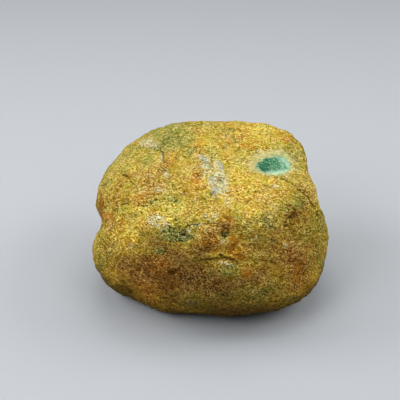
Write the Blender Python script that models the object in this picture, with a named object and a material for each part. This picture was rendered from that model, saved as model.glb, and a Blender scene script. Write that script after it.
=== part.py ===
"""A raw jadeite pebble: one solid stone with a weathered skin and one small ground window.

Metres, +Z up. The stone lies on its flat spot at Z = 0, and the origin is under the middle of its box.
Its front, the side that the photograph shows, faces -Y.
"""

import bmesh
import bpy
import numpy as np

# The tumbled body: flat facets from its breaking, their edges rounded by the river.
# Directions are (azimuth, elevation) in degrees from the stone's middle: azimuth 0 is the right end,
# 90 the back, 180 the left end and 270 the front. The last value is the facet's distance from the middle.
MIDDLE = np.array([0.0006, 0.0017, 0.0298])
ROUNDNESS = 13.0
FACETS = [
    ("right_end", 0, 0, 0.0506),
    ("right_high", 10, 13, 0.0484),
    ("right_shoulder", 24, 28, 0.0539),
    ("back_right_shoulder", 45, 44, 0.0551),
    ("back_shoulder_right", 77, 53, 0.0424),
    ("back_shoulder_left", 107, 53, 0.0431),
    ("back_left_shoulder", 130, 46, 0.0492),
    ("left_shoulder", 156, 29, 0.0514),
    ("left_high", 172, 11, 0.0481),
    ("left_low", 190, -14, 0.0524),
    ("left_under", 204, -30, 0.0556),
    ("front_left_under", 227, -45, 0.0562),
    ("front_left_foot", 248, -53, 0.0450),
    ("front_under", 276, -54, 0.0392),
    ("front_right_under", 312, -46, 0.0514),
    ("right_under", 335, -30, 0.0554),
    ("right_low", 350, -12, 0.0554),
    ("top", 272, 80, 0.0300),
    ("top_left_slope", 172, 62, 0.0404),
    ("front_left_middle", 255, 12, 0.0407),
    ("front_right_middle", 286, 14, 0.0412),
    ("front_left_low", 249, -20, 0.0407),
    ("front_brow_slope", 264, 46, 0.0420),
    ("front_left_brow", 231, 44, 0.0421),
    ("front_left", 216, 29, 0.0480),
    ("front_right", 316, 12, 0.0475),
    ("back", 90, 5, 0.0390),
    ("back_left", 137, 0, 0.0450),
    ("back_right", 45, 0, 0.0440),
    ("back_under", 90, -45, 0.0400),
    ("underside", 0, -90, 0.0308),
    ("underside_right", 10, -70, 0.0420),
    ("underside_back", 90, -70, 0.0385),
    ("underside_left", 162, -70, 0.0430),
]

# Broad worn valleys: start, end, depth, half width. Each fades in over the share FADE_IN of its length.
FADE_IN = 0.30
VALLEYS = [
    ("right_waist", (337, 34), (42, -14), 0.0090, 0.0100),
    ("left_notch", (214, 19), (150, -23), 0.0046, 0.0062),
]

# Round hollows (+) and swellings (-): direction, depth, radius.
HOLLOWS = [
    ("front_pit", (277, 30), 0.0016, 0.0026),
    ("green_hollow", (259, 30), 0.0009, 0.0050),
    ("right_shade", (322, 27), 0.0016, 0.0075),
    ("left_chip", (163, 52), 0.0007, 0.0048),
    ("left_dent", (210, 28), 0.0007, 0.0040),
    ("brown_dent", (250, 5), 0.0014, 0.0090),
    ("belly", (288, -42), -0.0010, 0.0110),
    ("belly_dip", (270, -44), 0.0010, 0.0060),
    ("left_belly", (235, -38), -0.0022, 0.0120),
    ("front_brow", (272, 22), -0.0010, 0.0060),
    ("lower_lip", (281, 8), -0.0011, 0.0070),
    ("back_hollow", (84, 12), 0.0018, 0.0110),
    ("back_chip", (120, 30), 0.0012, 0.0050),
    ("back_knob", (52, -8), -0.0012, 0.0080),
    ("left_back_dent", (160, -6), 0.0010, 0.0070),
    ("right_back_dent", (20, -14), 0.0011, 0.0060),
]

# Healed cracks: the points they run through, depth, and how far the two sides reach before they are
# level again. The first reach is the side on the left of the way that the points run.
CREASES = [
    ("lip", [(262, 15), (268, 18), (276, 18), (281, 16), (288, 11)], 0.0013, 0.0032, 0.0010),
    ("waist_crack", [(340, 44), (331, 39), (328, 31), (331, 20), (336, 7)], 0.0010, 0.0026, 0.0012),
    ("chip_edge", [(150, 42), (160, 52), (180, 57)], 0.0007, 0.0020, 0.0010),
    ("left_crack", [(203, 20), (209, 27), (219, 33)], 0.0007, 0.0012, 0.0012),
    ("foot_crack", [(212, -18), (221, -27)], 0.0008, 0.0020, 0.0010),
    ("right_slash", [(333, 7), (326, -3), (318, -14)], 0.0006, 0.0016, 0.0010),
    ("back_crack", [(60, 30), (72, 22), (88, 20), (104, 8)], 0.0012, 0.0028, 0.0010),
    ("back_foot_crack", [(118, -20), (104, -26), (84, -24)], 0.0009, 0.0022, 0.0010),
]

# The ground window: a flat, slightly sunk ellipse near the right end of the top. It is seen in the
# direction WINDOW_AT, faces WINDOW_NORMAL, and its rim takes the share WINDOW_RIM of its half length.
WINDOW_AT = (349, 50)
WINDOW_NORMAL = (293, 78)
WINDOW_HALF_LENGTH = 0.0070
WINDOW_HALF_WIDTH = 0.0050
WINDOW_TURN = 8.0
WINDOW_SUNK = 0.0006
WINDOW_RIM = 0.25
WINDOW_VIEW = np.cos(np.radians(20))

# Gentle unevenness: wavelength, height, seed.
SWELLS = [(0.034, 0.00026, 3), (0.017, 0.00016, 5), (0.009, 0.00010, 8)]
WAVES_IN_SWELL = 28

# The mesh: squares along each edge of the cube that is blown up into the stone. Those within FINE_REACH
# of a crack or the window's rim are halved.
SQUARES = 26
FINE_REACH = 0.0034


def pointing(azimuth, elevation):
    """The unit vector of a direction in degrees."""
    a, e = np.radians(azimuth), np.radians(elevation)
    return np.array([np.cos(a) * np.cos(e), np.sin(a) * np.cos(e), np.sin(e)])


def body_reach(d):
    """Distance from the middle to the tumbled body along unit vectors d.

    A facet h away is h / (d . n) off along d. The sum of the inverse distances to a high power, turned
    back, is the nearest facet's distance with the edges between facets rounded.
    """
    total = sum(np.maximum(0, d @ pointing(az, el) / h) ** ROUNDNESS for _, az, el, h in FACETS)
    return total ** (-1 / ROUNDNESS)


def path_gap(d, directions):
    """How far each unit vector is from a path over the sphere, in radians, with the side and the place.

    The side is 1 on the left of the way the path runs, as seen from outside, and -1 on the right. The
    place goes from 0 at the path's start to 1 at its end.
    """
    corners = [pointing(*direction) for direction in directions]
    gap = np.full(len(d), np.pi)
    side = np.zeros(len(d))
    place = np.zeros(len(d))
    for number, (a, b) in enumerate(zip(corners[:-1], corners[1:])):
        along = np.clip((d - a) @ (b - a) / ((b - a) @ (b - a)), 0, 1)
        nearest = a + along[:, None] * (b - a)
        nearest /= np.linalg.norm(nearest, axis=1, keepdims=True)
        here = np.arccos(np.clip((d * nearest).sum(1), -1, 1))
        closer = here < gap
        gap = np.where(closer, here, gap)
        side = np.where(closer, np.sign(d @ np.cross(a, b)), side)
        place = np.where(closer, (number + along) / (len(corners) - 1), place)
    return gap, side, place


def smooth(t):
    """0 to 1 with level ends."""
    t = np.clip(t, 0, 1)
    return t * t * (3 - 2 * t)


def swell(points, wavelength, seed):
    """A sum of equal plane waves that run in seeded random ways: an even, gentle unevenness."""
    rng = np.random.default_rng(seed)
    way = rng.normal(size=(WAVES_IN_SWELL, 3))
    way /= np.linalg.norm(way, axis=1, keepdims=True)
    phase = rng.uniform(0, 2 * np.pi, WAVES_IN_SWELL)
    waves = np.sin(points @ way.T * (2 * np.pi / wavelength) + phase)
    return waves.sum(1) * np.sqrt(2 / WAVES_IN_SWELL)


def skin_reach(d):
    """Distance from the middle to the natural surface along unit vectors d, before the window is ground."""
    reach = body_reach(d)
    for _, start, end, depth, half_width in VALLEYS:
        gap, _, place = path_gap(d, [start, end])
        reach = reach - depth * smooth(place / FADE_IN) * np.exp(-((gap * reach / half_width) ** 2))
    for _, direction, depth, radius in HOLLOWS:
        gap = np.arccos(np.clip(d @ pointing(*direction), -1, 1))
        reach = reach - depth * np.exp(-((gap * reach / radius) ** 2))
    for _, directions, depth, left_side, right_side in CREASES:
        gap, side, place = path_gap(d, directions)
        width = np.where(side > 0, left_side, right_side)
        open_share = smooth(6 * place * (1 - place))
        reach = reach - depth * open_share * np.exp(-gap * reach / width)
    points = d * reach[:, None]
    return reach + sum(height * swell(points, length, seed) for length, height, seed in SWELLS)


def window_frame():
    """The window's centre, its normal and the ways of its length and width."""
    toward = pointing(*WINDOW_AT)
    normal = pointing(*WINDOW_NORMAL)
    centre = toward * skin_reach(toward[None, :])[0] - normal * WINDOW_SUNK
    level = np.cross([0, 1, 0], normal)
    level /= np.linalg.norm(level)
    turn = np.radians(WINDOW_TURN)
    length_way = level * np.cos(turn) + np.cross(normal, level) * np.sin(turn)
    return centre, normal, length_way, np.cross(normal, length_way)


def stone_reach(d):
    """Distance from the middle to the stone's surface along unit vectors d.

    Within the window's ellipse the surface is its plane, and the rim blends that into the skin.
    """
    reach = skin_reach(d)
    centre, normal, length_way, width_way = window_frame()
    near = d @ pointing(*WINDOW_AT) > WINDOW_VIEW
    offset = d[near] * reach[near, None] - centre
    span = np.hypot(offset @ length_way / WINDOW_HALF_LENGTH, offset @ width_way / WINDOW_HALF_WIDTH)
    flat_reach = (centre @ normal) / (d[near] @ normal)
    reach[near] += (flat_reach - reach[near]) * smooth((1 + WINDOW_RIM - span) / WINDOW_RIM)
    return reach


def cube_directions(places):
    """Unit vectors from places on the cube, by tangents, so that squares keep an even size."""
    directions = np.tan(np.array(places) * np.pi / 4)
    return directions / np.linalg.norm(directions, axis=1, keepdims=True)


def needs_fine_squares(d):
    """True for the unit vectors that point at a crack or at the window."""
    reach = body_reach(d)
    near = [path_gap(d, directions)[0] * reach < FINE_REACH for _, directions, *_ in CREASES]
    window_gap = np.arccos(np.clip(d @ pointing(*WINDOW_AT), -1, 1)) * reach
    return np.any(near, axis=0) | (window_gap < WINDOW_HALF_LENGTH + FINE_REACH / 2)


def blown_cube():
    """A cube in squares, each corner moved out to the stone's surface along its own direction."""
    stone = bmesh.new()
    bmesh.ops.create_cube(stone, size=2.0)
    bmesh.ops.subdivide_edges(stone, edges=stone.edges[:], cuts=SQUARES - 1, use_grid_fill=True)
    middles = cube_directions([(edge.verts[0].co + edge.verts[1].co) / 2 for edge in stone.edges])
    fine = [edge for edge, near in zip(stone.edges[:], needs_fine_squares(middles)) if near]
    bmesh.ops.subdivide_edges(stone, edges=fine, cuts=1, use_grid_fill=True)
    bmesh.ops.triangulate(stone, faces=[face for face in stone.faces if len(face.verts) > 4])
    directions = cube_directions([corner.co for corner in stone.verts])
    places = directions * stone_reach(directions)[:, None] + MIDDLE
    for corner, place in zip(stone.verts, places):
        corner.co = place
    return stone


def flatten_foot(stone):
    """Cuts off what would reach under Z = 0 and closes the cut with the flat spot it lies on."""
    everything = stone.verts[:] + stone.edges[:] + stone.faces[:]
    bmesh.ops.bisect_plane(
        stone, geom=everything, dist=1e-5, plane_co=(0, 0, 0), plane_no=(0, 0, -1), clear_outer=True
    )
    rim = [edge for edge in stone.edges if edge.is_boundary]
    bmesh.ops.holes_fill(stone, edges=rim, sides=0)
    bmesh.ops.triangulate(stone, faces=[face for face in stone.faces if len(face.verts) > 4])
    bmesh.ops.recalc_face_normals(stone, faces=stone.faces[:])


def skin_material():
    """Matt ochre skin of weathered jadeite."""
    material = bpy.data.materials.new("weathered_skin")
    material.use_nodes = True
    shader = material.node_tree.nodes["Principled BSDF"]
    shader.inputs["Base Color"].default_value = (0.42, 0.28, 0.07, 1)
    shader.inputs["Roughness"].default_value = 0.75
    shader.inputs["Metallic"].default_value = 0.0
    return material


for old in list(bpy.data.objects):
    bpy.data.objects.remove(old)

body = blown_cube()
flatten_foot(body)
mesh = bpy.data.meshes.new("jadeite_pebble")
body.to_mesh(mesh)
body.free()
mesh.materials.append(skin_material())
mesh.shade_smooth()
pebble = bpy.data.objects.new("jadeite_pebble", mesh)
bpy.context.scene.collection.objects.link(pebble)
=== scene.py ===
"""A raw jadeite pebble on a pale studio floor. Metres, +Z up, front to -Y."""

import bpy
import numpy as np
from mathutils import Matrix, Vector


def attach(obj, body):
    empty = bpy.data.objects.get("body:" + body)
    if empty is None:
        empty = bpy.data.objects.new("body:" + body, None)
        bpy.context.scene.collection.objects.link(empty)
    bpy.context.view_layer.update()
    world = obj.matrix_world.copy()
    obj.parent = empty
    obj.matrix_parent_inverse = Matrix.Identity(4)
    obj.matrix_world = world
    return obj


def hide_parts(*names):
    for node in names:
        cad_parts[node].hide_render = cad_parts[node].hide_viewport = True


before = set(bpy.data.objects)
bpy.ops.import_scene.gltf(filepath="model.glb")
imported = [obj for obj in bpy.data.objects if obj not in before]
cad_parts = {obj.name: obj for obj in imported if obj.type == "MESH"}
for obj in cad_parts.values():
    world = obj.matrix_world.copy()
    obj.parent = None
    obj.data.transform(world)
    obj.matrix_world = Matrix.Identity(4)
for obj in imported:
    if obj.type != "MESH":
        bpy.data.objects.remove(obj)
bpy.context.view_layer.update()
scene = bpy.context.scene

# The camera: a short telephoto lens in front of the stone, looking down on it. PEBBLE_MIDDLE is the point
# that the stone's form is worked out from, and it falls on MIDDLE_PIXEL of the 400 by 400 picture.
PEBBLE_MIDDLE = np.array([0.0006, 0.0017, 0.0298])
PICTURE_SIDE = 400
MIDDLE_PIXEL = np.array([210.5, 217.5])
METRES_PER_PIXEL = 0.098 / 236
LENS_MM, SENSOR_MM = 85.0, 36.0
LOOK_DOWN = np.radians(36)

picture_right = np.array([1.0, 0.0, 0.0])
picture_up = np.array([0.0, np.sin(LOOK_DOWN), np.cos(LOOK_DOWN)])
toward_camera = np.cross(picture_right, picture_up)
focal_pixels = PICTURE_SIDE * LENS_MM / SENSOR_MM
camera_distance = METRES_PER_PIXEL * focal_pixels
middle_offset = (MIDDLE_PIXEL - PICTURE_SIDE / 2) * METRES_PER_PIXEL
aim = PEBBLE_MIDDLE - picture_right * middle_offset[0] + picture_up * middle_offset[1]


def picture_pixels(points):
    """Pixel of each point: its offset from the aim along the picture's ways, by focal length over depth."""
    offset = points - aim
    pixels_per_metre = focal_pixels / (camera_distance - offset @ toward_camera)
    across = PICTURE_SIDE / 2 + offset @ picture_right * pixels_per_metre
    down = PICTURE_SIDE / 2 - offset @ picture_up * pixels_per_metre
    return np.stack([across, down], axis=-1)


camera_data = bpy.data.cameras.new("camera")
camera_data.lens = LENS_MM
camera_data.sensor_width = SENSOR_MM
camera_data.clip_start = 0.01
camera = bpy.data.objects.new("camera", camera_data)
camera.location = aim + toward_camera * camera_distance
camera.rotation_euler = (np.pi / 2 - LOOK_DOWN, 0, 0)
scene.collection.objects.link(camera)
scene.camera = camera

# The light: a small light tent. A panel hangs close over the stone, one behind it, one at each side and
# one at each corner, all weak and soft. The picture keeps plain display colours.
LAMPS = [
    # name, place, width, depth, watts
    ("overhead_panel", (0.00, 0.05, 0.45), 0.30, 0.30, 0.84),
    ("back_panel", (0.00, 0.25, 0.45), 0.40, 0.30, 0.36),
    ("left_panel", (-0.50, 0.05, 0.40), 0.30, 0.40, 2.20),
    ("right_panel", (0.50, 0.05, 0.40), 0.30, 0.40, 2.00),
    ("left_back_panel", (-0.35, 0.30, 0.45), 0.30, 0.30, 0.38),
    ("right_back_panel", (0.35, 0.30, 0.45), 0.30, 0.30, 0.44),
    ("left_front_panel", (-0.35, -0.30, 0.45), 0.30, 0.30, 1.60),
    ("right_front_panel", (0.35, -0.30, 0.45), 0.30, 0.30, 0.70),
]

for lamp_name, place, width, depth, watts in LAMPS:
    lamp_data = bpy.data.lights.new(lamp_name, "AREA")
    lamp_data.shape = "RECTANGLE"
    lamp_data.size = width
    lamp_data.size_y = depth
    lamp_data.energy = watts
    lamp = bpy.data.objects.new(lamp_name, lamp_data)
    lamp.location = place
    toward_stone = Vector((0, 0, 0.03)) - Vector(place)
    lamp.rotation_euler = toward_stone.to_track_quat("-Z", "Y").to_euler()
    scene.collection.objects.link(lamp)
scene.view_settings.view_transform = "Standard"

# The floor: a sheet of matt bluish-white paper, wide enough to fill the picture.
FLOOR_REACH = 2.5
FLOOR_COLOUR = (0.395, 0.415, 0.44, 1)

floor_mesh = bpy.data.meshes.new("floor")
floor_corners = FLOOR_REACH * np.array([(-1, -1, 0), (1, -1, 0), (1, 1, 0), (-1, 1, 0)])
floor_mesh.from_pydata(floor_corners.tolist(), [], [(0, 1, 2, 3)])
floor_material = bpy.data.materials.new("floor_paper")
floor_material.use_nodes = True
floor_shader = floor_material.node_tree.nodes["Principled BSDF"]
floor_shader.inputs["Base Color"].default_value = FLOOR_COLOUR
floor_shader.inputs["Roughness"].default_value = 0.85
floor_shader.inputs["Specular IOR Level"].default_value = 0.2
floor_mesh.materials.append(floor_material)
floor = bpy.data.objects.new("floor", floor_mesh)
scene.collection.objects.link(floor)

# The pebble: one river-worn piece of jadeite, broken flat on most sides and then tumbled round. Its form
# repeats the solid's named values, and is worked out far finer, with the grain of its weathered skin.
ROUNDNESS = 13.0
FACETS = [
    # name, azimuth and elevation in degrees as seen from the middle, distance from the middle
    ("right_end", 0, 0, 0.0506),
    ("right_high", 10, 13, 0.0484),
    ("right_shoulder", 24, 28, 0.0539),
    ("back_right_shoulder", 45, 44, 0.0551),
    ("back_shoulder_right", 77, 53, 0.0424),
    ("back_shoulder_left", 107, 53, 0.0431),
    ("back_left_shoulder", 130, 46, 0.0492),
    ("left_shoulder", 156, 29, 0.0514),
    ("left_high", 172, 11, 0.0481),
    ("left_low", 190, -14, 0.0524),
    ("left_under", 204, -30, 0.0556),
    ("front_left_under", 227, -45, 0.0562),
    ("front_left_foot", 248, -53, 0.0450),
    ("front_under", 276, -54, 0.0392),
    ("front_right_under", 312, -46, 0.0514),
    ("right_under", 335, -30, 0.0554),
    ("right_low", 350, -12, 0.0554),
    ("top", 272, 80, 0.0300),
    ("top_left_slope", 172, 62, 0.0404),
    ("front_left_middle", 255, 12, 0.0407),
    ("front_right_middle", 286, 14, 0.0412),
    ("front_left_low", 249, -20, 0.0407),
    ("front_brow_slope", 264, 46, 0.0420),
    ("front_left_brow", 231, 44, 0.0421),
    ("front_left", 216, 29, 0.0480),
    ("front_right", 316, 12, 0.0475),
    ("back", 90, 5, 0.0390),
    ("back_left", 137, 0, 0.0450),
    ("back_right", 45, 0, 0.0440),
    ("back_under", 90, -45, 0.0400),
    ("underside", 0, -90, 0.0308),
    ("underside_right", 10, -70, 0.0420),
    ("underside_back", 90, -70, 0.0385),
    ("underside_left", 162, -70, 0.0430),
]
FADE_IN = 0.30
VALLEYS = [
    # name, start, end, depth, half width
    ("right_waist", (337, 34), (42, -14), 0.0090, 0.0100),
    ("left_notch", (214, 19), (150, -23), 0.0046, 0.0062),
]
HOLLOWS = [
    # name, direction, depth (a swelling is negative), radius
    ("front_pit", (277, 30), 0.0016, 0.0026),
    ("green_hollow", (259, 30), 0.0009, 0.0050),
    ("right_shade", (322, 27), 0.0016, 0.0075),
    ("left_chip", (163, 52), 0.0007, 0.0048),
    ("left_dent", (210, 28), 0.0007, 0.0040),
    ("brown_dent", (250, 5), 0.0014, 0.0090),
    ("belly", (288, -42), -0.0010, 0.0110),
    ("belly_dip", (270, -44), 0.0010, 0.0060),
    ("left_belly", (235, -38), -0.0022, 0.0120),
    ("front_brow", (272, 22), -0.0010, 0.0060),
    ("lower_lip", (281, 8), -0.0011, 0.0070),
    ("back_hollow", (84, 12), 0.0018, 0.0110),
    ("back_chip", (120, 30), 0.0012, 0.0050),
    ("back_knob", (52, -8), -0.0012, 0.0080),
    ("left_back_dent", (160, -6), 0.0010, 0.0070),
    ("right_back_dent", (20, -14), 0.0011, 0.0060),
]
CREASES = [
    # name, the directions a healed crack runs through, depth, reach on its left side and on its right side
    ("lip", [(262, 15), (268, 18), (276, 18), (281, 16), (288, 11)], 0.0013, 0.0032, 0.0010),
    ("waist_crack", [(340, 44), (331, 39), (328, 31), (331, 20), (336, 7)], 0.0010, 0.0026, 0.0012),
    ("chip_edge", [(150, 42), (160, 52), (180, 57)], 0.0007, 0.0020, 0.0010),
    ("left_crack", [(203, 20), (209, 27), (219, 33)], 0.0007, 0.0012, 0.0012),
    ("foot_crack", [(212, -18), (221, -27)], 0.0008, 0.0020, 0.0010),
    ("right_slash", [(333, 7), (326, -3), (318, -14)], 0.0006, 0.0016, 0.0010),
    ("back_crack", [(60, 30), (72, 22), (88, 20), (104, 8)], 0.0012, 0.0028, 0.0010),
    ("back_foot_crack", [(118, -20), (104, -26), (84, -24)], 0.0009, 0.0022, 0.0010),
]
# The window: azimuth and elevation in degrees of its place and of its normal, its sizes, and its depth.
WINDOW_AT = (349, 50)
WINDOW_NORMAL = (293, 78)
WINDOW_HALF_LENGTH = 0.0070
WINDOW_HALF_WIDTH = 0.0050
WINDOW_TURN = 8.0
WINDOW_SUNK = 0.0006
WINDOW_RIM = 0.25
WINDOW_VIEW = np.cos(np.radians(20))
# Uneven swells of the surface: wavelength, height, seed.
SWELLS = [(0.034, 0.00026, 3), (0.017, 0.00016, 5), (0.009, 0.00010, 8)]
WAVES_IN_SWELL = 28


def pointing(azimuth, elevation):
    """The unit vector of a direction in degrees: cosines and sines of azimuth and elevation."""
    a, e = np.radians(azimuth), np.radians(elevation)
    return np.array([np.cos(a) * np.cos(e), np.sin(a) * np.cos(e), np.sin(e)])


def smooth(t):
    """0 to 1 with level ends: t squared times three minus two t."""
    t = np.clip(t, 0, 1)
    return t * t * (3 - 2 * t)


def swell(points, wavelength, seed):
    """Even unevenness of unit size: a sum of equal plane waves that run in seeded random ways."""
    rng = np.random.default_rng(seed)
    way = rng.normal(size=(WAVES_IN_SWELL, 3))
    way /= np.linalg.norm(way, axis=1, keepdims=True)
    phase = rng.uniform(0, 2 * np.pi, WAVES_IN_SWELL)
    waves = np.sin(points @ way.T * (2 * np.pi / wavelength) + phase)
    return waves.sum(1) * np.sqrt(2 / WAVES_IN_SWELL)


def path_gap(d, corners):
    """Angle from each unit vector to a path of arcs through corners, the side it is on, and the place.

    Each arc's nearest point is the projection on its chord, and the least angle of all arcs counts. The
    side is 1 on the left of the way the path runs, seen from outside, and the place goes from 0 to 1.
    """
    gap = np.full(len(d), np.pi)
    side = np.zeros(len(d))
    place = np.zeros(len(d))
    for number, (a, b) in enumerate(zip(corners[:-1], corners[1:])):
        along = np.clip((d - a) @ (b - a) / ((b - a) @ (b - a)), 0, 1)
        nearest = a + along[:, None] * (b - a)
        nearest /= np.linalg.norm(nearest, axis=1, keepdims=True)
        here = np.arccos(np.clip((d * nearest).sum(1), -1, 1))
        closer = here < gap
        gap = np.where(closer, here, gap)
        side = np.where(closer, np.sign(d @ np.cross(a, b)), side)
        place = np.where(closer, (number + along) / (len(corners) - 1), place)
    return gap, side, place


def skin_reach(d):
    """Distance from the middle to the natural surface along unit vectors d.

    The rounded body is the sum of the facets' inverse distances to a high power, turned back. From it go
    the valleys and hollows, as bell curves of their gap, and the creases, which fade with distance.
    """
    total = sum(np.maximum(0, d @ pointing(az, el) / h) ** ROUNDNESS for _, az, el, h in FACETS)
    reach = total ** (-1 / ROUNDNESS)
    for _, start, end, depth, half_width in VALLEYS:
        gap, _, place = path_gap(d, [pointing(*start), pointing(*end)])
        reach = reach - depth * smooth(place / FADE_IN) * np.exp(-((gap * reach / half_width) ** 2))
    for _, direction, depth, radius in HOLLOWS:
        gap = np.arccos(np.clip(d @ pointing(*direction), -1, 1))
        reach = reach - depth * np.exp(-((gap * reach / radius) ** 2))
    for _, directions, depth, left_side, right_side in CREASES:
        gap, side, place = path_gap(d, [pointing(*direction) for direction in directions])
        width = np.where(side > 0, left_side, right_side)
        reach = reach - depth * smooth(6 * place * (1 - place)) * np.exp(-gap * reach / width)
    points = d * reach[:, None]
    return reach + sum(height * swell(points, length, seed) for length, height, seed in SWELLS)


def window_frame():
    """The window's centre, its normal and the ways of its length and width."""
    toward = pointing(*WINDOW_AT)
    normal = pointing(*WINDOW_NORMAL)
    centre = toward * skin_reach(toward[None, :])[0] - normal * WINDOW_SUNK
    level = np.cross([0, 1, 0], normal)
    level /= np.linalg.norm(level)
    turn = np.radians(WINDOW_TURN)
    length_way = level * np.cos(turn) + np.cross(normal, level) * np.sin(turn)
    return centre, normal, length_way, np.cross(normal, length_way)


def cube_grid(squares):
    """Unit vectors and quads of a cube in equal squares, by tangents of the place on each side.

    The six sides share one lattice of whole numbers, so their common edges are found by equal numbers.
    """
    step = np.arange(squares + 1)
    u, v = np.meshgrid(step, step, indexing="ij")
    low, high = np.zeros_like(u), np.full_like(u, squares)
    sides = [(high, u, v), (low, v, u), (v, high, u), (u, low, v), (u, v, high), (v, u, low)]
    lattice = np.concatenate([np.stack(side, axis=-1).reshape(-1, 3) for side in sides])
    number = np.arange(6 * (squares + 1) ** 2).reshape(6, squares + 1, squares + 1)
    near_v, far_v = number[:, :, :-1], number[:, :, 1:]
    quads = np.stack([near_v[:, :-1], near_v[:, 1:], far_v[:, 1:], far_v[:, :-1]], axis=-1)
    corners, shared = np.unique(lattice, axis=0, return_inverse=True)
    directions = np.tan((2 * corners / squares - 1) * np.pi / 4)
    directions /= np.linalg.norm(directions, axis=1, keepdims=True)
    return directions, shared.reshape(-1)[quads.reshape(-1, 4)]


# Squares along a cube edge: 128 keep the piece just under 200,000 triangles, half a millimetre apart.
PEBBLE_SQUARES = 128
# Finer swells, and flakes with worn edges between them: wavelength, height, seed.
GRAIN_RELIEF = [(0.0052, 0.00007, 11), (0.0031, 0.00006, 12), (0.0020, 0.00006, 13)]
FLAKE_RELIEF = [(0.0120, 0.00016, 14), (0.0064, 0.00015, 15), (0.0036, 0.00009, 16)]
PIT_DEPTH = 0.00032
PIT_SPACING = 0.0046
PIT_SEED = 21

d, quads = cube_grid(PEBBLE_SQUARES)
reach = skin_reach(d)
plain_points = d * reach[:, None]
for wavelength, height, seed in GRAIN_RELIEF:
    reach = reach + height * swell(plain_points, wavelength, seed)
for wavelength, height, seed in FLAKE_RELIEF:
    reach = reach + height * (np.abs(swell(plain_points, wavelength, seed)) - 0.8)
pit_share = smooth((swell(plain_points, PIT_SPACING, PIT_SEED) - 1.1) / 0.9)
reach = reach - PIT_DEPTH * pit_share

window_centre, window_normal, window_length_way, window_width_way = window_frame()
near_window = d @ pointing(*WINDOW_AT) > WINDOW_VIEW
window_offset = d[near_window] * reach[near_window, None] - window_centre
window_span = np.hypot(
    window_offset @ window_length_way / WINDOW_HALF_LENGTH,
    window_offset @ window_width_way / WINDOW_HALF_WIDTH,
)
flat_reach = (window_centre @ window_normal) / (d[near_window] @ window_normal)
flat_share = smooth((1 + WINDOW_RIM - window_span) / WINDOW_RIM)
reach[near_window] += (flat_reach - reach[near_window]) * flat_share

points = d * reach[:, None] + PEBBLE_MIDDLE
points[:, 2] = np.maximum(points[:, 2], 0)

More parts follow.
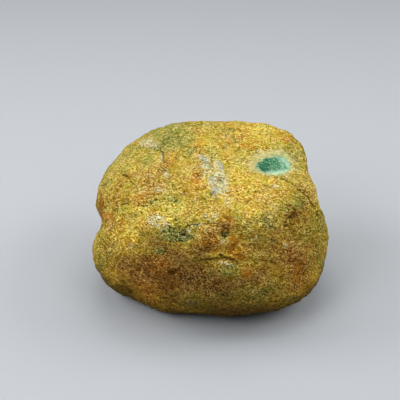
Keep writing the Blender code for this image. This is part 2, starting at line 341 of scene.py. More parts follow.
# Broad fields of its skin and of painted light and shade, placed on the stone by the pixel that each is
# seen at:
# name, pixel, half width and half height in pixels, turn in degrees, how much redder (greener if negative),
# how much lighter. How much lighter is partly the skin's own tone and partly painted light and shade:
# painted shade on the belly, under the brow and under the lip, and painted light along the lower rim and
# beside the lip.
SKIN_AND_PAINTED_LIGHT_FIELDS = [
    ("top_left_olive", (160, 138), (24, 14), -25, -0.75, -0.20),
    ("top_band_olive", (188, 128), (22, 8), 0, -0.55, -0.10),
    ("top_left_slope_olive", (130, 175), (18, 14), 0, -0.20, -0.10),
    ("vein_green", (217, 172), (11, 26), -5, -0.80, 0.10),
    ("window_ground", (276, 160), (26, 16), 8, -0.30, 0.0),
    ("left_mid_green", (170, 231), (20, 12), 8, -0.80, 0.22),
    ("left_teal_ground", (170, 203), (22, 8), 0, -0.10, 0.0),
    ("under_lip_green", (232, 268), (12, 7), 0, -0.50, 0.05),
    ("foot_green", (205, 299), (20, 8), 0, -0.30, 0.0),
    ("foot_shade", (222, 302), (64, 9), 0, -0.45, -0.20),
    ("waist_green", (300, 210), (16, 20), 0, 0.05, -0.30),
    ("right_edge_green", (323, 230), (7, 30), 0, -0.30, 0.0),
    ("right_corner_green", (297, 150), (10, 18), 0, -0.30, -0.15),
    ("left_edge_red", (97, 207), (7, 12), 0, 0.50, -0.38),
    ("left_slope_ochre", (132, 207), (18, 10), 0, 0.15, 0.20),
    ("left_shoulder_light", (130, 230), (26, 15), -20, 0.0, 0.44),
    ("belly_red", (155, 272), (34, 17), 8, 1.00, -0.05),
    ("belly_dark", (184, 272), (24, 12), 5, 0.35, -0.12),
    ("left_foot_red", (124, 272), (16, 13), 20, 0.15, 0.14),
    ("pit_red", (230, 222), (9, 14), -10, 0.70, -0.05),
    ("lip_red", (237, 248), (8, 12), 0, 0.80, 0.35),
    ("brow_red", (206, 246), (18, 13), 0, 0.95, -0.36),
    ("belly_top_red", (190, 258), (16, 10), 0, 0.50, -0.10),
    ("belly_shade", (190, 276), (34, 18), 0, 0.35, -0.45),
    ("under_lip_shade", (214, 281), (44, 12), 0, 0.20, -0.38),
    ("low_red", (205, 292), (20, 8), 0, 0.40, 0.0),
    ("low_middle_red", (256, 276), (18, 18), 0, 0.35, -0.10),
    ("right_slash_red", (299, 266), (12, 26), -8, 1.15, -0.10),
    ("top_middle_ochre", (255, 147), (22, 8), 0, 0.15, 0.05),
    ("middle_light", (248, 192), (34, 24), 0, -0.20, 0.32),
    ("left_end_orange", (108, 217), (10, 9), 0, 0.25, -0.38),
    ("chip_orange", (172, 157), (7, 9), 0, 0.45, 0.15),
    ("bright_orange", (198, 183), (9, 7), 0, 0.70, 0.55),
    ("orange_below", (186, 193), (8, 5), 0, 0.35, 0.05),
    ("orange_streak", (143, 195), (14, 5), -15, 0.50, 0.20),
    ("ochre_under_window", (266, 180), (16, 5), 0, 0.35, 0.10),
    ("ochre_corner", (288, 139), (7, 4), -30, 0.40, 0.10),
    # Painted light along the lower rim, where the floor lights it, down to the right edge's low field.
    ("left_foot_edge", (114, 281), (12, 7), 35, -0.25, 1.45),
    ("left_foot_low_edge", (147, 296), (16, 7), 22, -0.40, 1.80),
    ("foot_left_edge", (184, 306), (26, 8), 4, -0.15, 1.60),
    ("left_foot_light", (150, 287), (21, 8), 15, -0.10, 0.85),
    ("right_foot_edge", (297, 295), (16, 7), -35, -0.80, 1.15),
    ("right_edge_low", (317, 279), (7, 9), -25, -0.80, 1.10),
    # Painted shade under the belly and along the foot.
    ("belly_dark_core", (180, 280), (19, 9), 5, 0.85, -0.62),
    ("middle_foot_dark", (221, 296), (19, 8), 0, 0.25, -1.00),
    ("right_foot_dark", (260, 292), (17, 8), 0, -0.80, -0.50),
    # Painted light beside the lip, under the brow.
    ("lip_side_light", (225, 252), (16, 8), 0, 0.0, 1.35),
    ("low_middle_light", (247, 266), (12, 8), 0, -0.25, 0.40),
    ("top_edge_light", (261, 128), (22, 8), 5, 0.05, 0.45),
    ("vein_side_light", (236, 168), (10, 28), -8, -0.05, 0.22),
    ("left_patch_light", (163, 221), (15, 8), 0, 0.0, 0.85),
    ("left_end_light", (119, 210), (8, 17), 0, -0.50, 0.34),
    ("right_end_light", (316, 204), (7, 15), 0, -0.1, 0.75),
    ("waist_dark", (300, 186), (8, 7), 30, 0.30, -0.30),
    ("slope_dark", (156, 184), (13, 6), 0, 0.35, -0.32),
    ("belly_left_light", (164, 267), (13, 8), 0, 0.10, 1.20),
    ("belly_left_red", (174, 258), (11, 12), 0, 0.75, -0.05),
    ("brow_ochre", (222, 227), (11, 7), 0, 0.60, 0.0),
    ("vein_foot_green", (231, 200), (8, 9), 0, -0.40, 0.15),
    ("left_shoulder_dark", (152, 241), (14, 7), 0, 0.0, -0.50),
    ("left_shoulder_spot", (132, 240), (9, 7), 0, 0.0, 0.65),
    ("teal_light", (177, 211), (14, 7), 0, 0.05, 0.42),
    ("top_middle_light", (206, 142), (14, 7), 0, 0.0, 0.32),
    ("top_right_light", (258, 140), (19, 8), 0, 0.25, 0.25),
    ("vein_top_dark", (203, 157), (7, 6), 0, 0.0, -0.30),
    ("waist_low_dark", (297, 229), (8, 6), 0, 0.0, -0.25),
    ("right_slope_light", (287, 255), (9, 7), 0, 0.0, 0.40),
    ("right_end_dark", (313, 254), (7, 10), 0, 0.15, -0.32),
    ("left_end_dark", (107, 247), (9, 13), 0, 0.0, -0.28),
    ("front_light", (256, 226), (8, 7), 0, 0.0, 0.30),
    ("low_right_dark", (273, 287), (9, 9), 0, 0.0, -0.30),
    ("right_slope_ochre", (284, 190), (18, 9), 20, 0.30, 0.0),
]
# Seeded fields of the sides that the picture doesn't show: how many, their radii in metres, and how much
# redder and lighter each may be.
HIDDEN_FIELDS = 44
HIDDEN_FIELD_SEED = 38
HIDDEN_FIELD_RADII = (0.006, 0.015)
HIDDEN_REDDER = (-0.7, 0.9)
HIDDEN_LIGHTER = (-0.3, 0.4)

# Its stains and bare spots, each placed on the stone by the pixel that it is seen at: name, pixel, half
# width and half height in pixels, turn in degrees, strength. A few are painted light and shade instead: a
# painted highlight below the lip, a painted glint, and painted shade in the waist hollow, at the right edge
# and under the lip.
OLIVE_STAINS = [
    ("top_left_band", (172, 128), (24, 5), 14, 0.85),
    ("top_left_field", (178, 142), (20, 10), -15, 0.75),
    ("olive_knot", (156, 135), (5, 3.5), 0, 1.0),
    ("field_streak", (189, 152), (9, 5), -30, 0.8),
    ("chip_floor", (148, 160), (10, 6), 0, 0.65),
    ("left_slope", (120, 188), (13, 12), 0, 0.3),
    ("top_streak", (237, 143), (10, 2.2), 52, 0.65),
    ("corner_spot", (291, 144), (3, 5), 60, 0.6),
    ("waist_field", (297, 200), (12, 12), 0, 0.6),
    ("front_field", (266, 222), (18, 11), 0, 0.62),
    ("front_low_field", (260, 241), (14, 9), 0, 0.5),
    ("under_lip", (229, 270), (11, 8), 0, 0.9),
    ("foot_field", (225, 295), (18, 8), 0, 0.45),
    ("left_foot", (101, 266), (5, 11), 20, 0.7),
    ("left_front", (118, 252), (13, 12), 0, 0.3),
    ("right_edge", (319, 262), (4, 14), -10, 0.6),
    ("right_foot", (292, 297), (10, 4), 30, 0.6),
    ("green_row_ground", (174, 235), (20, 8), 5, 0.80),
]
PALE_PATCHES = [
    ("chip_flash", (150, 144), (11, 4), 12, 1.0),
    ("chip_line", (162, 156), (2.2, 7), 25, 0.9),
    ("white_chip", (167, 172), (3.6, 3.0), 20, 1.0),
    ("white_chip_low", (165.5, 176), (2.2, 2.6), 0, 0.9),
    ("vein_ground", (214, 176), (16, 22), -12, 0.42),
    ("vein_left", (203, 158), (8, 3.2), 25, 1.0),
    ("vein_head", (207, 166), (7, 5), 0, 1.0),
    ("vein_neck", (219, 166), (5, 7), -25, 1.0),
    ("vein_body", (219, 180), (9, 12), 0, 1.15),
    ("vein_side", (226, 184), (3, 8), -10, 1.0),
    ("vein_foot", (216, 192), (6, 7), 0, 1.0),
    ("vein_tail", (227, 200), (4, 8), -25, 0.6),
    ("left_patch", (156, 220), (10, 7), -15, 1.0),
    ("left_patch_side", (166, 225), (7, 4.5), 30, 0.8),
    ("left_patch_foot", (160, 229), (6, 3), 0, 0.7),
    ("row_light", (182, 231.5), (5, 1.6), 0, 1.0),
    ("row_light_low", (184, 240), (3, 1.6), 0, 0.6),
    ("row_patch", (187, 231), (6, 3), 0, 0.7),
    ("row_ground", (178, 236), (15, 9), 8, 0.30),
    ("peach_spot", (131, 246), (4, 3), 0, 0.9),
    ("brow_patch", (211, 216), (8, 4), 0, 0.60),
    ("left_peach", (159, 190), (8, 4), 15, 0.5),
    ("foot_patch", (190, 301), (8, 2.6), 5, 1.0),
    ("slope_spot", (150, 177), (4, 3), 0, 0.5),
    ("right_dots", (283, 246), (5, 4), 0, 0.5),
    # A painted glint.
    ("sparkle", (256, 237), (2, 2), 0, 1.0),
    ("crack_chip", (276, 185), (4, 2.2), 15, 0.7),
    ("window_halo", (274, 163), (25, 15), 8, 0.55),
    ("pit_rim", (224, 241.5), (6, 2.4), 0, 0.85),
    # A painted highlight on the lip's lower edge, below the crack.
    ("lip_highlight", (228, 263.5), (11, 2.0), 8, 0.9),
]
GREY_SPOTS = [
    ("vein_lilac", (221, 166), (3, 5), -20, 0.9),
    ("vein_blue", (215, 190), (4.5, 5.5), 0, 1.0),
    ("vein_left_side", (212, 180), (3, 7), 0, 0.7),
    ("vein_top", (206, 160), (6, 2.4), 20, 0.8),
    ("left_patch_lilac", (163, 218), (4, 3), 0, 0.7),
    ("white_chip_foot", (168, 177), (2.6, 2.6), 0, 0.7),
    ("row_grey", (196, 225), (8, 2.4), -20, 0.7),
    ("brow_grey", (212, 219), (5, 2), 0, 0.6),
    ("window_right", (287, 169), (4, 3), 0, 0.4),
]
GREEN_SPOTS = [
    ("teal_ring", (175, 201), (2.6, 3.4), 0, 0.9),
    ("left_teal", (151, 202), (3.6, 2.4), 0, 0.7),
    ("left_teal_low", (144, 206), (4.2, 2.0), 0, 0.6),
    ("row_a", (183, 235), (8.5, 4.2), 5, 1.25),
    ("row_b", (164, 239), (3.5, 2.6), 0, 0.9),
    ("row_c", (171, 230), (9, 3.6), -10, 1.0),
    ("row_e", (172, 238), (11, 4.0), 10, 1.00),
    ("row_right", (193, 226), (7, 2.2), -25, 0.6),
    ("row_d", (183, 241), (3.5, 2), 0, 0.9),
    ("front_spot", (159, 251), (6, 4.4), -10, 1.1),
    ("top_dots", (232, 129.5), (4, 1.6), 0, 0.8),
    ("right_spot", (273, 241), (3, 4), 60, 0.9),
    ("middle_spot", (251, 232), (3.6, 3), 0, 0.6),
    ("waist_spot", (288, 210), (3.2, 2.6), 0, 0.6),
    ("pit_core", (224.5, 236), (6.6, 5.2), 0, 0.7),
    ("foot_spot", (197, 302), (5, 2), 0, 0.6),
    ("edge_spot", (308.5, 266), (2.4, 3), 0, 0.6),
    ("chip_blue", (154, 149), (4.5, 2), 0, 0.7),
    ("vein_hole", (220, 182), (4.5, 2.4), -10, 0.6),
]
RUST_STAINS = [
    ("left_edge", (101, 203), (3, 14), 0, 0.8),
    ("belly_brown", (161, 271), (20, 11), 0, 0.8),
    ("belly_brown_low", (172, 284), (17, 9), 0, 0.7),
    ("belly_red", (157, 272), (9, 4), 0, 0.9),
    ("waist_rust", (290, 207), (3.4, 2.4), 0, 0.5),
    ("foot_rust", (176, 301), (5, 2), 0, 0.7),
]
ORANGE_SPOTS = [
    ("pit_side", (233, 245), (5.0, 11), 12, 1.0),
    ("lip_end", (240, 254), (4.5, 5), 0, 0.9),
    ("pit_top", (229, 219), (9, 3), 25, 0.8),
    ("low_spot", (246, 273), (6, 6), 0, 0.8),
    ("low_spot_right", (273, 274), (4.5, 3), 0, 0.6),
    ("slash_band", (298, 274), (5, 12), 12, 1.0),
    ("right_spot", (307, 249), (4, 6), 0, 0.8),
    ("right_spot_low", (303, 262), (4, 6), 0, 0.7),
    ("bright_spot", (196, 181), (5, 3.5), 0, 0.9),
    ("chip_side", (171, 157), (5, 7), 0, 0.6),
    ("left_end", (108, 217), (8, 6), 0, 0.6),
    ("left_slope", (140, 197), (10, 4), -20, 0.5),
    ("corner", (288, 139), (6, 2.4), -30, 0.5),
    ("top_band", (247, 146), (16, 4), 0, 0.5),
    ("brow_dome", (206, 240), (12, 9), 0, 0.45),
]
DARK_STAINS_AND_PAINTED_SHADE = [
    ("belly_spot", (172.5, 272), (4, 3), 0, 0.8),
    # Painted shade in the hollow below the waist crack, and a painted shadow at the right edge.
    ("waist_hollow", (292, 221), (6, 5), 20, 0.5),
    ("waist_hollow_low", (286, 226), (4, 2.4), 0, 0.7),
    ("edge_shadow", (318, 213), (2, 4), 20, 0.8),
    ("vein_hole_dark", (219, 180), (4, 1.2), -8, 0.7),
    ("left_hollow", (124, 175), (3.6, 1.6), 10, 0.65),
    ("pit_dark", (224.5, 234.5), (5.2, 3.6), 0, 0.65),
    ("lip_branch", (221, 255), (3, 1.4), 30, 0.8),
    ("top_hook", (193, 129), (3, 1.4), -20, 0.6),
    ("row_dark", (183, 234.5), (4.5, 1.4), 5, 0.85),
    ("row_dark_low", (180, 241), (4, 1.4), 0, 0.8),
    ("row_dark_top", (171, 227), (3, 1.4), 20, 0.8),
    ("row_dark_b", (164, 239), (2.6, 1.4), 0, 0.7),
    # Painted shadow under the lip's overhang.
    ("lip_corner", (203, 261), (6, 2), 10, 0.6),
]
# Fine cracks: name, the pixels they run through, half width in metres, how unbroken they are.
CRACK_LINES = [
    # The lip line is a crack and also painted shadow under the lip's overhang.
    ("lip", [(199, 262), (207, 261), (214, 260), (222, 257.5), (230, 258.5), (236, 261), (241, 265)],
     0.00060, 1.9),
    ("waist", [(280, 177), (284, 178), (291, 181), (299, 188), (307, 195), (312, 204), (318, 212)],
     0.00020, 1.25),
    ("slash", [(303, 262), (302, 270), (298, 280), (293, 296)], 0.00025, 0.9),
    ("chip", [(158, 144), (161, 151), (163, 157), (166, 163)], 0.00030, 1.1),
    ("white_chip_top", [(163, 169.5), (167, 168.8), (171, 168)], 0.00030, 1.4),
    ("left_line", [(129, 178), (133, 183), (139, 187)], 0.00028, 1.0),
    ("left_crack_a", [(116, 201), (113, 206), (118, 208)], 0.00030, 1.3),
    ("left_crack_b", [(119, 206), (123, 204.5), (128, 202)], 0.00030, 1.2),
    ("front_crack", [(250, 245), (256, 245.5), (261, 247)], 0.00028, 1.1),
    ("under_window", [(265, 182), (270, 185.5), (274, 184)], 0.00030, 1.2),
    ("foot", [(125, 287), (128, 291), (132, 294)], 0.00035, 1.3),
    ("brow", [(222, 215.5), (227, 219), (231, 223.5)], 0.00025, 1.2),
    ("pit_to_lip", [(229, 247), (225, 252), (221, 256), (214, 259.5)], 0.00025, 0.9),
    ("brow_line", [(199, 224), (208, 222.5), (217, 224), (226, 229), (233, 231)], 0.00020, 0.7),
    ("row_line", [(183, 228), (192, 224), (200, 223)], 0.00025, 0.9),
    ("dome_left", [(186, 236), (191, 240), (197, 243)], 0.00022, 0.8),
    ("chip_left", [(135, 203), (142, 205), (150, 202), (156, 197)], 0.00022, 0.7),
    ("left_knot", [(120, 174), (125, 174), (130, 177)], 0.00035, 0.9),
    ("left_notch_crack", [(97, 236), (103, 241), (108, 249)], 0.00028, 1.0),
    ("waist_low", [(286, 226), (290, 219), (296, 216)], 0.00030, 0.9),
    ("front_slope", [(262, 214), (268, 222), (272, 232)], 0.00028, 1.0),
    ("belly_left", [(141, 268), (147, 276), (156, 281)], 0.00028, 0.9),
    ("belly_line", [(166, 287), (176, 289), (187, 292)], 0.00030, 0.9),
    ("right_low", [(262, 263), (270, 262), (278, 266)], 0.00028, 0.9),
]

# How near a pixel a point has to be seen to lie on it, in pixels, and the ball on the stone that a mark is
# kept to: its greater half size times a number, and a little more in metres.
PIXEL_CATCH = 1.6
MARK_BALL = 3.0
MARK_BALL_SPARE = 0.002


def seen_at(pixel):
    """The surface point seen at a pixel: of the points that lie close to it, the one nearest the camera."""
    gap = np.linalg.norm(pixels - pixel, axis=1)
    depth = np.where(gap < max(PIXEL_CATCH, gap.min()), points @ toward_camera, -np.inf)
    return points[depth.argmax()]


def ellipse_share(pixel, half_width, half_height, turn, edge):
    """Share of a mark that is an ellipse in the picture: exp of minus its span to the power edge.

    It is kept to a ball about the surface point that the pixel shows.
    """
    anchor = seen_at(np.array(pixel))
    offset = pixels - pixel
    cosine, sine = np.cos(np.radians(turn)), np.sin(np.radians(turn))
    along = (offset[:, 0] * cosine + offset[:, 1] * sine) / half_width
    across = (offset[:, 1] * cosine - offset[:, 0] * sine) / half_height
    ball = MARK_BALL * max(half_width, half_height) * METRES_PER_PIXEL + MARK_BALL_SPARE
    nearness = smooth(2 - 2 * np.linalg.norm(points - anchor, axis=1) / ball)
    return nearness * np.exp(-(np.hypot(along, across) ** edge))


# The seeded marks of the sides that the picture doesn't show: radii in metres, strengths, and how far they
# are stretched. Dark hollows are kept smaller, as small as those in front.
SMALLEST_HIDDEN_MARK = 0.0012
LARGEST_HIDDEN_MARK = 0.0055
LARGEST_HIDDEN_HOLLOW = 0.0026
HIDDEN_STRENGTHS = (0.5, 1.1)
HIDDEN_STRETCH = 0.6


def mark_shares(marks, others, seed, largest=LARGEST_HIDDEN_MARK):
    """How much of one kind of mark each point has, 0 to 1: the strongest of all the marks of that kind.

    The others are seeded ones on the sides that the picture doesn't show: bell curves about random
    surface points, stretched along a random way, with a radius of up to the largest.
    """
    share = np.zeros(len(points))
    for _, pixel, (half_width, half_height), turn, strength in marks:
        share = np.maximum(share, strength * ellipse_share(pixel, half_width, half_height, turn, 3))
    rng = np.random.default_rng(seed)
    for _ in range(others):
        anchor = points[rng.choice(unseen)]
        radius = rng.uniform(SMALLEST_HIDDEN_MARK, largest)
        way = rng.normal(size=3)
        offset = points - anchor
        stretched = offset - HIDDEN_STRETCH * (offset @ way)[:, None] * way / (way @ way)
        bell = np.exp(-((np.linalg.norm(stretched, axis=1) / radius) ** 3))
        share = np.maximum(share, rng.uniform(*HIDDEN_STRENGTHS) * bell * hidden)
    return share


pixels = picture_pixels(points)
corner = points[quads]
quad_normal = np.cross(corner[:, 2] - corner[:, 0], corner[:, 3] - corner[:, 1])
point_normal = np.zeros_like(points)
np.add.at(point_normal, quads.reshape(-1), np.repeat(quad_normal, 4, axis=0))
point_normal /= np.linalg.norm(point_normal, axis=1, keepdims=True)
facing = point_normal @ toward_camera

# How hidden a point is from the place that the picture was taken from, with a soft edge.
hidden = smooth(1 - 8 * facing)
unseen = np.nonzero(facing < 0)[0]

# The lighter share sums the skin's own tone and the fields' painted light and shade.
redder = np.zeros(len(points))
tone_and_painted_light = np.zeros(len(points))
for _, pixel, (half_width, half_height), turn, red, tone_and_light in SKIN_AND_PAINTED_LIGHT_FIELDS:
    field = ellipse_share(pixel, half_width, half_height, turn, 2)
    redder += red * field
    tone_and_painted_light += tone_and_light * field
rng = np.random.default_rng(HIDDEN_FIELD_SEED)
for _ in range(HIDDEN_FIELDS):
    gap = np.linalg.norm(points - points[rng.choice(unseen)], axis=1)
    field = np.exp(-((gap / rng.uniform(*HIDDEN_FIELD_RADII)) ** 2)) * hidden
    redder += rng.uniform(*HIDDEN_REDDER) * field
    tone_and_painted_light += rng.uniform(*HIDDEN_LIGHTER) * field

# Each kind of mark, with how many seeded ones the other sides have and their seed.
olive_share = mark_shares(OLIVE_STAINS, 26, 31)
pale_share = mark_shares(PALE_PATCHES, 30, 32)
grey_share = mark_shares(GREY_SPOTS, 12, 36)
green_share = mark_shares(GREEN_SPOTS, 16, 33)
rust_share = mark_shares(RUST_STAINS, 22, 34)
orange_share = mark_shares(ORANGE_SPOTS, 24, 37)
dark_and_shade_share = mark_shares(DARK_STAINS_AND_PAINTED_SHADE, 14, 35, LARGEST_HIDDEN_HOLLOW)

# A crack is a signed distance from its nearest path in half widths, so that its edge stays sharp between
# mesh points, and a share that ends it where the path ends.
CRACK_FAR = 20.0
CRACK_FADE = 0.125
CRACK_DIP_WIDTH = 0.0007
HIDDEN_CRACK_HALF_WIDTH = 0.00035
HIDDEN_CRACK_WHOLENESS = 1.2

surface_way = points - PEBBLE_MIDDLE
surface_reach = np.linalg.norm(surface_way, axis=1)
surface_way /= surface_reach[:, None]
seen_cracks = []
for _, path, half_width, wholeness in CRACK_LINES:
    path_points = np.array([seen_at(np.array(pixel)) for pixel in path]) - PEBBLE_MIDDLE
    path_ways = path_points / np.linalg.norm(path_points, axis=1, keepdims=True)
    seen_cracks.append((path_ways, half_width, wholeness))
hidden_cracks = [
    (
        np.array([pointing(*direction) for direction in directions]),
        HIDDEN_CRACK_HALF_WIDTH,
        HIDDEN_CRACK_WHOLENESS,
    )
    for name, directions, _, _, _ in CREASES
    if name.startswith("back")
]
crack_gap = np.full(len(points), CRACK_FAR)
crack_share = np.zeros(len(points))
crack_dip = np.zeros(len(points))
for path_ways, half_width, wholeness in seen_cracks + hidden_cracks:
    gap, side, place = path_gap(surface_way, list(path_ways))
    gap = gap * surface_reach
    span = gap / half_width
    nearer = span < np.abs(crack_gap)
    crack_gap = np.where(nearer, np.where(side < 0, -span, span), crack_gap)
    ends = smooth(place / CRACK_FADE) * smooth((1 - place) / CRACK_FADE)
    crack_share = np.where(nearer, wholeness * ends * smooth(2 - span / 4), crack_share)
    crack_dip = np.maximum(crack_dip, wholeness * ends * np.exp(-((gap / CRACK_DIP_WIDTH) ** 2)))

# Low domes and hollows of the seen side, finer than the solid's: name, pixel, half sizes, turn, height.
LOW_RELIEF = [
    ("brow_dome", (207, 240), (17, 13), 0, 0.0007),
    ("under_green_row", (160, 244), (20, 8), 10, -0.0006),
    ("lip_dome", (230, 272), (16, 8), 5, 0.0007),
    ("lip_undercut", (214, 261), (16, 2.6), -6, -0.0008),
    ("left_patch_bump", (158, 221), (10, 7), 0, 0.0005),
    ("pit", (224.5, 235), (5.5, 4.5), 0, -0.0009),
    ("pit_rim", (224, 242), (7, 2.6), 0, 0.0004),
    ("chip_floor", (148, 160), (13, 9), -20, -0.0006),
    ("chip_wall", (168, 158), (5, 12), 20, 0.0005),
    ("white_chip", (167, 173), (4, 5), 0, -0.0004),
    ("vein_bump", (219, 182), (9, 12), 0, 0.0004),
    ("vein_hole", (219, 180), (4.5, 2.0), -8, -0.0006),
    ("waist_hollow", (292, 218), (11, 7), 20, -0.0008),
    ("belly_hollow", (178, 272), (22, 9), 5, -0.0006),
    ("left_dent", (124, 176), (9, 4), 15, -0.0005),
    ("left_mid_dent", (146, 205), (12, 4), -15, -0.0005),
    ("slash_groove", (297, 278), (3, 16), 12, -0.0005),
    ("under_window_dent", (268, 183), (9, 3), 10, -0.0004),
    ("front_rib", (250, 262), (6, 18), 8, 0.0004),
    ("front_groove", (262, 250), (5, 16), 5, -0.0004),
    ("foot_bump", (192, 300), (14, 5), 0, 0.0005),
]
low_relief = np.zeros(len(points))
for _, pixel, (half_width, half_height), turn, height in LOW_RELIEF:
    low_relief += height * ellipse_share(pixel, half_width, half_height, turn, 2)

# Dark and green spots lie in small hollows, cracks are open, and pale spots are worn high spots.
HOLLOW_DEPTH = 0.00050
HIGH_SPOT = 0.00015
CRACK_DEPTH = 0.00035
hollow_share = np.maximum(dark_and_shade_share, 0.5 * green_share)
sunk = HOLLOW_DEPTH * hollow_share + CRACK_DEPTH * crack_dip - HIGH_SPOT * pale_share - low_relief
points = points - point_normal * sunk[:, None]
points[:, 2] = np.maximum(points[:, 2], 0)

# Soil has stained the flanks brown where they turn under and near the ground; the same share also paints
# shade there, darker where they face down and lie close to the ground.
SOIL_AND_SHADE_TOP = 0.036
SOIL_AND_SHADE_FADE = 0.024
FLANK_SOIL_AND_SHADE = 0.45
turned_under = smooth((0.88 - point_normal[:, 2]) / 0.75)
near_ground = smooth((SOIL_AND_SHADE_TOP - points[:, 2]) / SOIL_AND_SHADE_FADE)
soil_and_painted_shade = np.maximum(FLANK_SOIL_AND_SHADE * turned_under, near_ground)

pebble_mesh = bpy.data.meshes.new("weathered_pebble")
pebble_mesh.vertices.add(len(points))
pebble_mesh.vertices.foreach_set("co", points.astype(np.float32).ravel())
pebble_mesh.loops.add(quads.size)
pebble_mesh.loops.foreach_set("vertex_index", quads.astype(np.int32).ravel())
pebble_mesh.polygons.add(len(quads))
pebble_mesh.polygons.foreach_set("loop_start", np.arange(0, quads.size, 4, dtype=np.int32))
pebble_mesh.polygons.foreach_set("use_smooth", np.ones(len(quads), bool))
pebble_mesh.update(calc_edges=True)

WINDOW_NEAR = 0.006
window_offset = points - PEBBLE_MIDDLE - window_centre
kept_values = {
    "redder": redder,
    "tone_and_painted_light": tone_and_painted_light,
    "olive": olive_share,
    "pale": pale_share,
    "grey": grey_share,
    "green": green_share,
    "rust": rust_share,
    "orange": orange_share,
    "dark": dark_and_shade_share,
    "crack_gap": crack_gap,
    "crack_share": crack_share,
    "window_along": window_offset @ window_length_way / WINDOW_HALF_LENGTH,
    "window_across": window_offset @ window_width_way / WINDOW_HALF_WIDTH,
    "window_near": smooth(3 - np.linalg.norm(window_offset, axis=1) / WINDOW_NEAR),
    "pit": pit_share,
    "soil_and_painted_shade": soil_and_painted_shade,
}
for name, values in kept_values.items():
    kept = pebble_mesh.attributes.new(name, "FLOAT", "POINT")
    kept.data.foreach_set("value", values.astype(np.float32))

# Its material: a matt, sugary rind of fine crystals that iron and soil have stained. Every pattern comes
# from the place on the stone and from the values that its mesh keeps.
skin = bpy.data.materials.new("weathered_jadeite")
skin.use_nodes = True
skin_tree = skin.node_tree
skin_shader = skin_tree.nodes["Principled BSDF"]


def put(kind, output, inputs, **settings):
    """Adds a node, sets or links its inputs by name or number, and gives back one of its outputs."""
    node = skin_tree.nodes.new(kind)
    for name, value in settings.items():
        setattr(node, name, value)
    for name, value in inputs.items():
        if isinstance(value, bpy.types.NodeSocket):
            skin_tree.links.new(value, node.inputs[name])
        else:
            node.inputs[name].default_value = value
    return node.outputs[output]


def calc(operation, a, b=0.0, clamp=False):
    """One sum on numbers or sockets."""
    return put("ShaderNodeMath", 0, {0: a, 1: b}, operation=operation, use_clamp=clamp)


def times(a, b):
    """The product of two numbers or sockets."""
    return calc("MULTIPLY", a, b)


def added(*terms):
    """The sum of the terms, in which a pair stands for the product of its two values."""
    products = [times(*term) if isinstance(term, tuple) else term for term in terms]
    total = products[0]
    for product in products[1:]:
        total = calc("ADD", total, product)
    return total


def rest_of(share):
    """What a share leaves of the whole: one minus the share."""
    return calc("SUBTRACT", 1.0, share)


def attribute(name):
    """The number that the mesh keeps under this name."""
    return put("ShaderNodeAttribute", "Fac", {}, attribute_name=name)


def swing(size, detail, vector):
    """Cloudy noise with features of this size in metres, which swings about 0, mostly from -1 to 1."""
    settings = {"Vector": vector, "Scale": 1 / size, "Detail": detail, "Roughness": 0.55}
    return times(calc("SUBTRACT", put("ShaderNodeTexNoise", "Fac", settings), 0.5), 7.0)


def band(value, low, high):
    """0 below low to 1 above high, with level ends."""
    return put("ShaderNodeMapRange", 0, {"Value": value, "From Min": low, "From Max": high},
               interpolation_type="SMOOTHSTEP")


def blend(share, under, over):
    """Colour under with colour over laid on it by share."""
    return put("ShaderNodeMix", 2, {0: share, 6: under, 7: over}, data_type="RGBA")


def laid(under, over, share, strength):
    """Colour under with colour over laid on it by share times strength."""
    return blend(times(share, strength), under, over)


def tinted(colour, tint, share):
    """A colour multiplied by a tint, by share."""
    return put("ShaderNodeMix", 2, {0: share, 6: colour, 7: tint}, data_type="RGBA", blend_type="MULTIPLY")


def shade(colour, factor):
    """A colour made lighter or darker by a factor."""
    return put("ShaderNodeVectorMath", 0, {0: colour, 3: factor}, operation="SCALE")


def colour_scale(value, stops):
    """The colour that a value has on a scale of colours: straight lines between its stops."""
    scale = skin_tree.nodes.new("ShaderNodeValToRGB")
    for stop, _ in stops[1:-1]:
        scale.color_ramp.elements.new(stop)
    for element, (stop, stop_colour) in zip(scale.color_ramp.elements, stops):
        element.position = stop
        element.color = stop_colour
    skin_tree.links.new(value, scale.inputs["Fac"])
    return scale.outputs["Color"]


def moved(vector, amount):
    """A place moved by an amount, as so that two noises don't match."""
    return put("ShaderNodeVectorMath", 0, {0: vector, 1: amount}, operation="ADD")


def drawn_out(vector, turn, stretch):
    """A place seen in axes turned by radians, with all patterns stretched along the first of them."""
    return put("ShaderNodeMapping", 0, {"Vector": vector, "Rotation": turn, "Scale": (stretch, 1, 1)},
               vector_type="TEXTURE")


BEND_SIZE = 0.006
BEND = 0.004
place = put("ShaderNodeTexCoord", "Object", {})
bent = put("ShaderNodeTexNoise", "Color", {"Vector": place, "Scale": 1 / BEND_SIZE, "Detail": 2.0})
bent = put("ShaderNodeVectorMath", 0, {0: bent, 1: (0.5, 0.5, 0.5)}, operation="SUBTRACT")
bent = put("ShaderNodeVectorMath", 0, {0: bent, 3: BEND}, operation="SCALE")
bent = moved(place, bent)

clouds = swing(0.017, 4.0, bent)
patches = swing(0.0048, 4.0, moved(bent, (0.3, 0, 0)))
flecks = swing(0.0018, 3.0, moved(place, (0, 0.3, 0)))
dots = swing(0.0009, 2.0, moved(place, (0, 0, 0.3)))

# The crystals lie in fibres, which run level or a little down to the right all round the stone.
FIBRE_TURN = (0, 0.35, 0.10)
FIBRE_STRETCH = 2.0
fibre_place = drawn_out(bent, FIBRE_TURN, FIBRE_STRETCH)


def fibrous(size, detail, shift):
    """Swinging noise drawn out along the fibres."""
    return swing(size, detail, moved(fibre_place, shift))


streaks = fibrous(0.0030, 4.0, (0, 0, 0))
fine_streaks = fibrous(0.0012, 3.0, (0, 0.4, 0))
threads = fibrous(0.00042, 1.0, (0.4, 0, 0))

